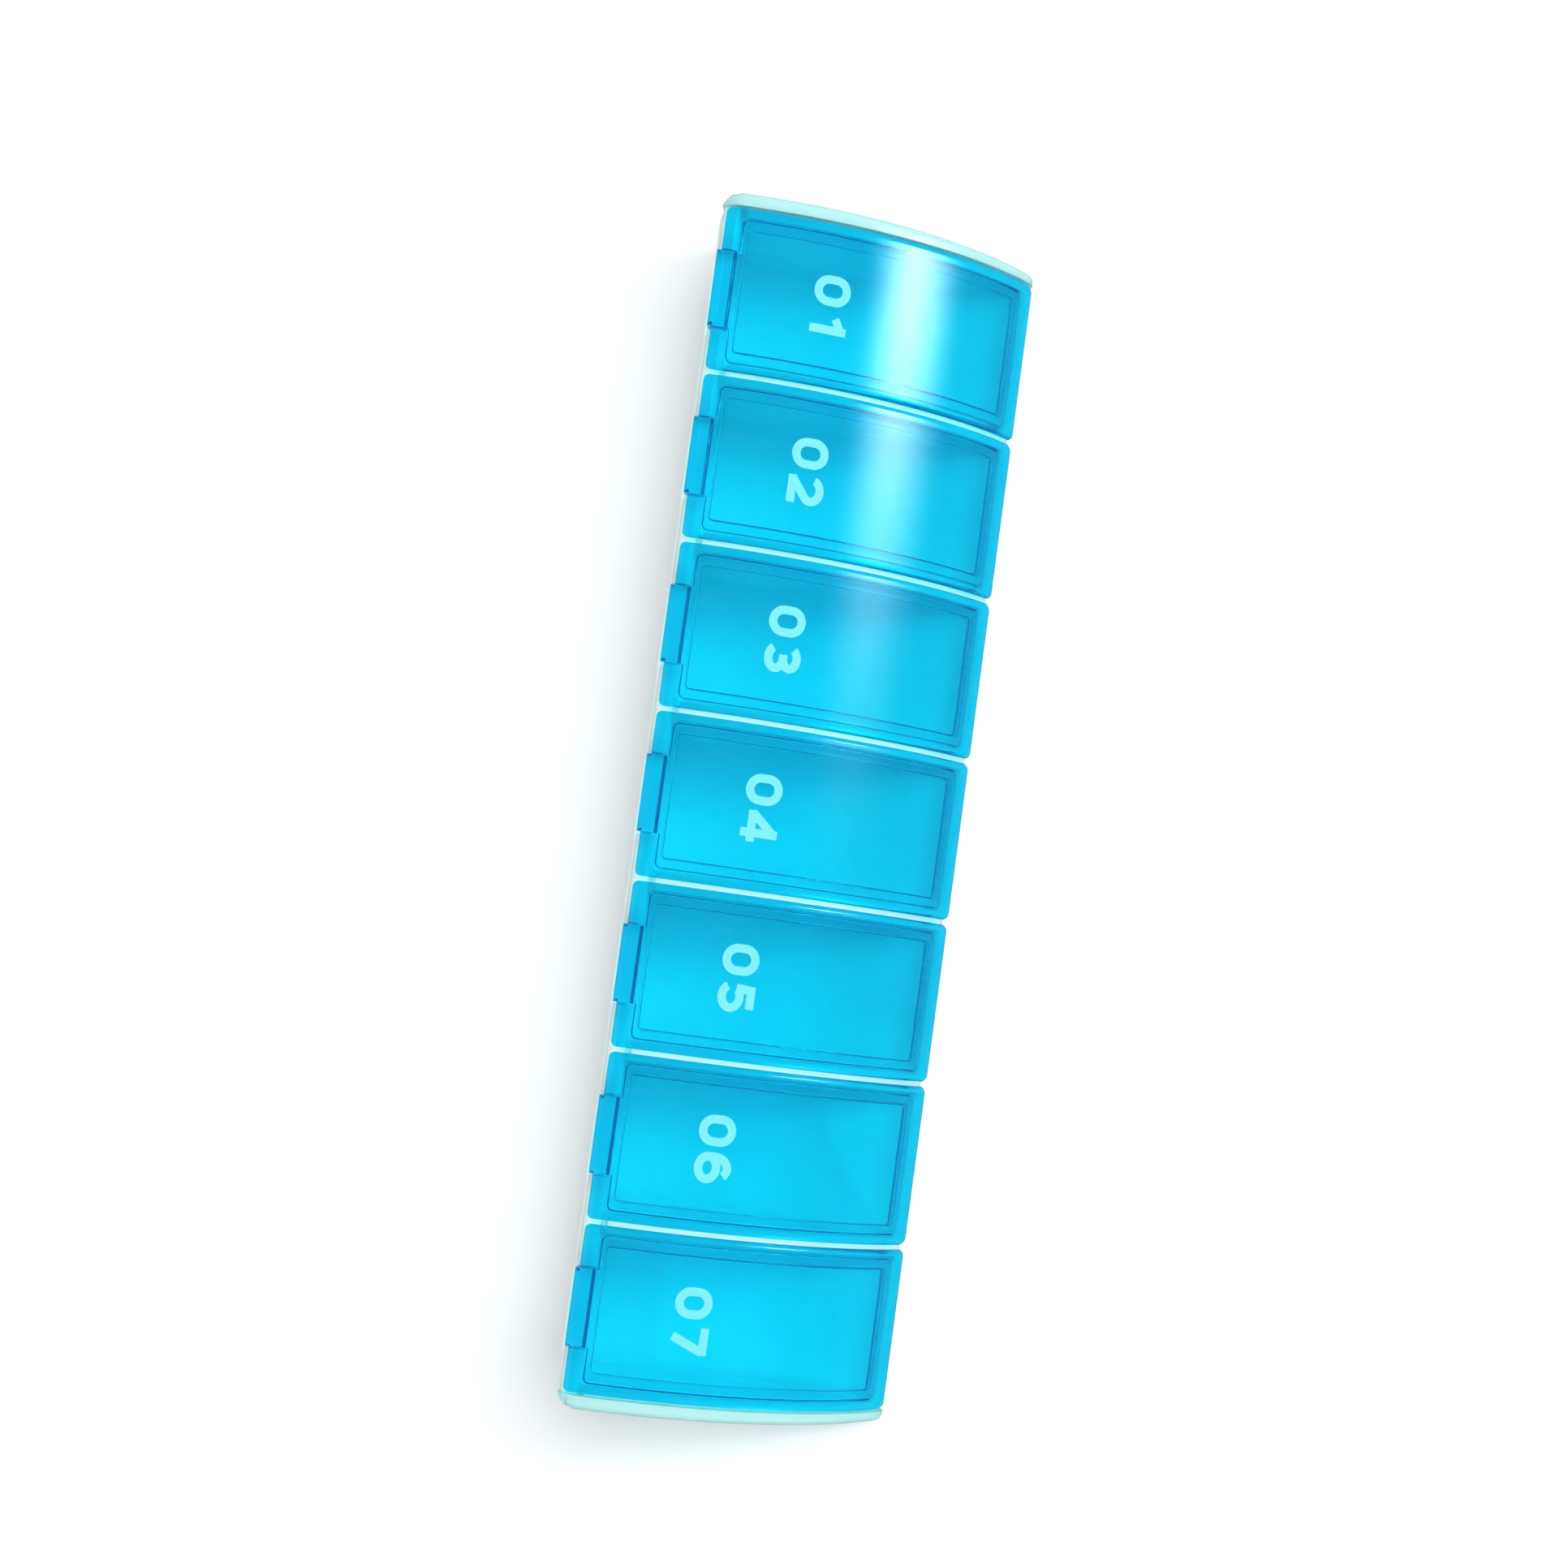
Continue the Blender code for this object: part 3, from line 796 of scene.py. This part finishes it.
def lug(index):
    """A lug between two days, or half of one at an end. Lug 0 is the end at +X."""
    x = (LAST_LUG / 2 - index) * PITCH
    low = -BAY_HALF - LAP if index == LAST_LUG else x - LUG_HALF
    high = BAY_HALF + LAP if index == 0 else x + LUG_HALF
    eye = bar(f"eye_{index}", KNUCKLE_RADIUS, low, high, KNUCKLE_SIDES)
    foot = (low + HAIR, LUG_FRONT_Y + HAIR, WALL_TOP - LAP)
    stem = as_piece(f"stem_{index}", block(foot, (high - HAIR, AXIS_Y + LUG_REACH, AXIS_Z)))
    return [eye, stem]


def bore(day):
    """The round hole for a lid's two pins."""
    x = day_x(day)
    return bar(f"bore_{day}", PIN_RADIUS + FIT_GAP, x - BORE_HALF, x + BORE_HALF, PIN_SIDES)


lugs = [piece for index in range(LAST_LUG + 1) for piece in lug(index)]
boolean(tray, gather("hinge_lugs", lugs), "UNION")
boolean(tray, gather("bores", [bore(day) for day in DAYS]), "DIFFERENCE")
shade(tray.data)
weigh_normals(tray)
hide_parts("base_tray")
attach(tray, "tray")
print("tray faces:", len(tray.data.polygons))

# %% [markdown]
# ## The numbers on the lids
#
# Each lid carries a short printed mark in a pale ink. Here they are plain numbers, 01 to 07, in the
# place and size of the marks: centred on the lid, read along the case, with their tops towards the
# opening edge. The figures have one even stroke, so each is drawn as a signwriter would: a line that
# the middle of the nib follows, given its width afterwards. A line is a few points, some on an oval,
# in shares of the figure's box. The strokes are joined, cut into narrow bands and wrapped on the arc
# by its length, so that they keep their height on the slope.

# %% Numbers
INK_THICKNESS = 0.03 * MM
INK_LIFT = 0.004 * MM
NIB = 1.05 * MM
FIGURE_WIDTH = 3.8 * MM
FIGURE_HEIGHT = 4.7 * MM
FIGURE_SPACE = 0.75 * MM
NUMBER_ARC = 14.45 * MM
BAND = 0.3 * MM
OVAL_STEP = 9
WIDE = FIGURE_WIDTH - NIB
HIGH = FIGURE_HEIGHT - NIB
# In shares of the height: half a nib, which squares a stroke's end off with the box, and the radius
# of a half circle over the whole width.
FLAT = NIB / 2 / HIGH
BULB = WIDE / 2 / HIGH


def oval(y, wide, high, first, last):
    """Points on an oval in the middle of the figure, from one angle to another in degrees."""
    count = round(abs(last - first) / OVAL_STEP)
    angles = [math.radians(first + (last - first) * step / count) for step in range(count + 1)]
    return [(0.5 + wide * math.cos(a), y + high * math.sin(a)) for a in angles]


FIGURES = {
    0: [oval(1 - BULB, 0.5, BULB, 0, 180) + oval(BULB, 0.5, BULB, 180, 360)],
    1: [[(0.62, -FLAT), (0.62, 1 + FLAT)], [(0.62, 0.95), (0.08, 0.72)]],
    2: [oval(0.69, 0.48, 0.31, 165, -30) + [(0.05, 0.02)], [(-0.12, 0), (1.12, 0)]],
    3: [oval(0.76, 0.44, 0.24, 155, -90) + [(0.34, 0.52)], oval(0.26, 0.48, 0.26, 90, -155)],
    4: [
        [(0.8, -FLAT), (0.8, 1 + FLAT)],
        [(0.8, 1.0), (-0.1, 0.22)],
        [(-0.2, 0.22), (1.2, 0.22)],
    ],
    5: [[(1.0, 1), (0.16, 1), (0.1, 0.48)], oval(0.31, 0.5, 0.31, 130, -155)],
    6: [oval(0.31, 0.5, 0.31, 0, 360)[:-1], oval(0.5, 0.5, 0.5, 48, 180) + [(0.0, 0.31)]],
    7: [[(-0.1, 1), (1.1, 1)], [(0.97, 0.97), (0.35, 0.056 - FLAT)]],
}


def stroke(name, points, closed, shift):
    """One stroke of ink: a low wall along the points, given the nib's width."""
    bm = bmesh.new()
    line = [bm.verts.new((x * WIDE + shift, y * HIGH, 0.0)) for x, y in points]
    ends = line[1:] + (line[:1] if closed else [])
    edges = [bm.edges.new(pair) for pair in zip(line, ends)]
    drawn = bmesh.ops.extrude_edge_only(bm, edges=edges)
    move_drawn(bm, drawn, (0.0, 0.0, INK_THICKNESS))
    made = as_piece(name, bm)
    width = made.modifiers.new("nib", "SOLIDIFY")
    width.thickness = NIB
    width.offset = 0.0
    width.use_even_offset = True
    return made


def number(day):
    """A day's number as a thin film of ink that follows the lid."""
    film = stroke(f"lid_number_{day}", FIGURES[0][0][:-1], True, 0.0)
    shift = FIGURE_WIDTH + FIGURE_SPACE
    others = []
    for index, line in enumerate(FIGURES[day]):
        # The bowl of the 6 is the only closed line beside the 0.
        closed = day == 6 and index == 0
        others.append(stroke(f"stroke_{index}", line, closed, shift))
    boolean(film, gather("strokes", others), "UNION")
    bm = bmesh.new()
    bm.from_mesh(film.data)
    bpy.data.objects.remove(film, do_unlink=True)
    bmesh.ops.triangulate(bm, faces=bm.faces)
    lows = [min(v.co[axis] for v in bm.verts) for axis in (0, 1)]
    highs = [max(v.co[axis] for v in bm.verts) for axis in (0, 1)]
    middle = [(low + high) / 2 for low, high in zip(lows, highs)]
    for step in range(1, int((highs[1] - lows[1]) / BAND) + 1):
        cut(bm, 1, lows[1] + step * BAND)
    for vert in bm.verts:
        turn = (NUMBER_ARC + vert.co.y - middle[1]) / ARC_RADIUS
        radius = ARC_RADIUS + vert.co.z + INK_LIFT
        vert.co.x = day_x(day) - (vert.co.x - middle[0])
        vert.co.y = HINGE_Y - radius * math.sin(turn)
        vert.co.z = CASE_HEIGHT - ARC_RADIUS + radius * math.cos(turn)
    made = as_piece(f"lid_number_{day}", bm)
    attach(made, f"lid_{day}")
    print(f"number 0{day}:", [round((high - low) / MM, 2) for low, high in zip(lows, highs)], "mm")
    return made


numbers = [number(day) for day in DAYS]

# %% [markdown]
# ## Clear blue polypropylene
#
# The lids are injection-moulded in a clear blue plastic with a slightly satin face. Its colour comes
# from the depth: light that crosses the thin plate comes out cyan, and light that runs along a rib or
# an edge comes out a deep blue. So the skin is clear plastic with a light tint, and the inside absorbs
# red strongly and the rest hardly at all. The satin face softens reflections and blurs what lies deep
# in a compartment, while the ribs close under it stay crisp. Polypropylene is never quite clear: a
# thin haze in it sends a little blue back from the skin itself, and evens out what lies below.
#
# The rim outside the rib frame and the front half, which a fingernail lifts, take a tint a step deeper, as
# painted shade that darkens them.
#
# A lamp's light is bent on its way through the skin, and a renderer finds such bent paths only by
# chance, as grain. So on the way to a lamp the skin counts as a plain tinted window, and what lies
# below is lit evenly, in the lids' own cyan.

# %% Blue plastic
POLYPROPYLENE_IOR = 1.49
SATIN = 0.1
RIM_STEP = 0.4 * MM
FRONT_HALF_STARTS = 1.0 * MM
FRONT_HALF_FULL = -9.0 * MM
HAZE_LOW = 0.11
HAZE_HIGH = 0.17
# Per metre: the plate's 1.2 mm lets about a third of the red through.
ABSORPTION = 1000.0

blue, tree, place = new_material("clear_blue_polypropylene_moulded")
# The orange-peel ripple of a moulded face, about 1.5 mm from crest to crest.
ripple = noise(tree, place, width=1.54 * MM, detail=2.0)
ripple_bump = node(tree, "ShaderNodeBump", Strength=0.05, Distance=0.02 * MM, Height=ripple)
satin_face = {"Roughness": SATIN, "IOR": POLYPROPYLENE_IOR, "Normal": ripple_bump.outputs["Normal"]}

# How far a point lies from the middle line of its own lid: the lids repeat with the pitch.
spot = node(tree, "ShaderNodeSeparateXYZ", Vector=place)
aside = arithmetic(tree, "PINGPONG", spot.outputs["X"], PITCH / 2)
# Masks for the painted shade: the rim outside the rib frame, and the front half of the lid.
rim_sides = ramp(tree, aside, FRAME_X - RIM_STEP / 2, FRAME_X + RIM_STEP / 2)
rim_rear = ramp(tree, spot.outputs["Y"], FRAME_REAR_Y, FRAME_REAR_Y + RIM_STEP)
front_half = ramp(tree, spot.outputs["Y"], FRONT_HALF_STARTS, FRONT_HALF_FULL, smooth=True)
rim = arithmetic(tree, "MAXIMUM", rim_sides, rim_rear)
painted_shade_share = arithmetic(tree, "MAXIMUM", rim, front_half)
# Painted shade: the rim strips and the front half take the deeper cyan.
tint = blend(tree, painted_shade_share, linear("#40F2FC"), linear("#3EE8EE"))

clear = node(tree, "ShaderNodeBsdfPrincipled", Base_Color=tint, Transmission_Weight=1.0, **satin_face)
haze = node(tree, "ShaderNodeBsdfPrincipled", Base_Color=linear("#00A4FF"), **satin_face)
# The haze comes in slow clouds, nearly 7 mm wide.
cloud = noise(tree, place, width=6.67 * MM, detail=2.0)
haze_share = ramp(tree, cloud, 0.0, 1.0, HAZE_LOW, HAZE_HIGH)
hazy = either(tree, haze_share, clear.outputs[0], haze.outputs[0])
window = node(tree, "ShaderNodeBsdfTransparent", Color=linear("#95FFFF"))
to_lamp = node(tree, "ShaderNodeLightPath").outputs["Is Shadow Ray"]
skin = either(tree, to_lamp, hazy, window.outputs[0])
depth = node(tree, "ShaderNodeVolumeAbsorption", Color=linear("#00FAFD"), Density=ABSORPTION)
node(tree, "ShaderNodeOutputMaterial", Surface=skin, Volume=depth.outputs[0])
paint(lids, blue)
print("blue plastic on", len(lids), "lids")

# %% [markdown]
# ## Milky polypropylene
#
# The tray is the same kind of plastic without the dye. Unfilled polypropylene is cloudy: light enters
# it, scatters and comes out a few millimetres away, which takes the hardness out of its shadows and
# lets it pick up blue under the lids. The face has the soft sheen of a fine tool finish.
#
# The end walls stand beside the blue lids and are painted a deeper mint: painted cyan light, in place of the
# light that the lids throw onto them.

# %% Milky plastic
SHEEN_LOW = 0.20
SHEEN_HIGH = 0.28
END_WALL_STEP = 0.3 * MM

milky, tree, place = new_material("milky_polypropylene_moulded")
# Slow clouds in the plastic, about 12 mm wide, change its colour and its sheen a little.
clouds = noise(tree, place, width=12.5 * MM, detail=3.0)
cloudy = blend(tree, clouds, linear("#E4FAF8"), linear("#EEFFFD"))
sheen = ramp(tree, clouds, 0.0, 1.0, SHEEN_LOW, SHEEN_HIGH)
spot = node(tree, "ShaderNodeSeparateXYZ", Vector=place)
along = arithmetic(tree, "ABSOLUTE", spot.outputs["X"])
# Painted cyan light on the end walls, from the blue lids beside them.
end_walls = ramp(tree, along, BAY_HALF - END_WALL_STEP, BAY_HALF)
cloudy_with_painted_lid_light = blend(tree, end_walls, cloudy, linear("#B4E6E4"))
# The texture of the tool, about 0.25 mm, breaks up the highlight.
grain = noise(tree, place, width=0.25 * MM, detail=1.0)
grain_bump = node(tree, "ShaderNodeBump", Strength=0.15, Distance=0.01 * MM, Height=grain)
body = node(
    tree,
    "ShaderNodeBsdfPrincipled",
    Base_Color=cloudy_with_painted_lid_light,
    Roughness=sheen,
    IOR=POLYPROPYLENE_IOR,
    Subsurface_Weight=0.5,
    Subsurface_Radius=(0.8, 1.0, 1.0),
    Subsurface_Scale=2.0 * MM,
    Normal=grain_bump.outputs["Normal"],
)
node(tree, "ShaderNodeOutputMaterial", Surface=body.outputs[0])
paint([tray], milky)
print("milky plastic on the tray")

# %% [markdown]
# ## Pad-printed ink
#
# The marks are printed with a rubber pad in a pale cyan ink. The film is thin and matte, and a little
# of the blue below shows through where it lies thinner.

# %% Ink
ink, tree, place = new_material("pale_cyan_ink_pad_printed")
speckle = noise(tree, place, width=0.4 * MM, detail=2.0)
film = blend(tree, speckle, linear("#6ADAE8"), linear("#7EE6F0"))
dry = node(tree, "ShaderNodeBsdfPrincipled", Base_Color=film, Roughness=0.5, IOR=1.45)
node(tree, "ShaderNodeOutputMaterial", Surface=dry.outputs[0])
paint(numbers, ink)
print("ink on", len(numbers), "numbers")

# %% [markdown]
# ## Sizes and finish
#
# The dressed case should stay inside the imported one, so the growth of its box beyond the imported box is
# printed.

# %% Finish
new_low, new_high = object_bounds()
growth = [*(case_low - new_low), *(new_high - case_high)]
print("grown by, mm:", [round(v / MM, 3) for v in growth])
